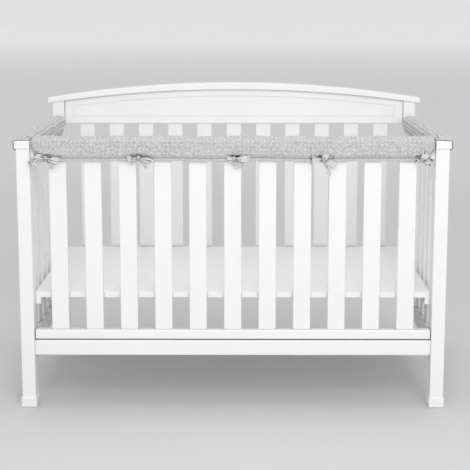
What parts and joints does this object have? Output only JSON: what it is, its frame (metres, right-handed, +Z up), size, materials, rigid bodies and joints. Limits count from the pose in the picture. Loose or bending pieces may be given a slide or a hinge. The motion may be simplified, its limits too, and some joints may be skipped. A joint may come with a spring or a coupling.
{
  "type": "crib rail teething guard on a crib",
  "caption": "Padded plush teething guard folded over the front and side rails of a slatted crib with an arched headboard, held along the front by bowed cloth ties.",
  "frame": {"origin": "on the floor under the middle of the whole: the bottom centre of the bounding box", "axes": "+X along the crib, to the right as seen from the front; +Y from the tied front to the headboard; +Z up"},
  "size_m": [1.434, 0.797, 1.031],
  "materials": {
    "painted_wood": "smooth satin white paint",
    "plush": "matte short-pile plush with an all-over embossed dot texture",
    "tie_cloth": "matte woven tape"
  },
  "bodies": {
    "root": {"post_front_left": "painted_wood", "post_front_right": "painted_wood", "post_back_left": "painted_wood", "post_back_right": "painted_wood", "front_top_rail": "painted_wood", "front_bottom_rail": "painted_wood", "front_apron_rail": "painted_wood", "back_bottom_rail": "painted_wood", "left_top_rail": "painted_wood", "left_bottom_rail": "painted_wood", "right_top_rail": "painted_wood", "right_bottom_rail": "painted_wood", "front_slat_1": "painted_wood", "front_slat_2": "painted_wood", "front_slat_3": "painted_wood", "front_slat_4": "painted_wood", "front_slat_5": "painted_wood", "front_slat_6": "painted_wood", "front_slat_7": "painted_wood", "front_slat_8": "painted_wood", "front_slat_9": "painted_wood", "front_slat_10": "painted_wood", "front_slat_11": "painted_wood", "back_slat_1": "painted_wood", "back_slat_2": "painted_wood", "back_slat_3": "painted_wood", "back_slat_4": "painted_wood", "back_slat_5": "painted_wood", "back_slat_6": "painted_wood", "back_slat_7": "painted_wood", "back_slat_8": "painted_wood", "back_slat_9": "painted_wood", "back_slat_10": "painted_wood", "back_slat_11": "painted_wood", "left_slat_1": "painted_wood", "left_slat_2": "painted_wood", "left_slat_3": "painted_wood", "left_slat_4": "painted_wood", "left_slat_5": "painted_wood", "left_slat_6": "painted_wood", "left_slat_7": "painted_wood", "right_slat_1": "painted_wood", "right_slat_2": "painted_wood", "right_slat_3": "painted_wood", "right_slat_4": "painted_wood", "right_slat_5": "painted_wood", "right_slat_6": "painted_wood", "right_slat_7": "painted_wood", "headboard_panel": "painted_wood", "headboard_cap": "painted_wood", "mattress_support": "painted_wood", "guard_front_cover": "plush", "guard_left_cover": "plush", "guard_right_cover": "plush", "tie_far_left": "tie_cloth", "tie_left": "tie_cloth", "tie_middle": "tie_cloth", "tie_right": "tie_cloth", "tie_far_right": "tie_cloth"}
  },
  "joints": []
}
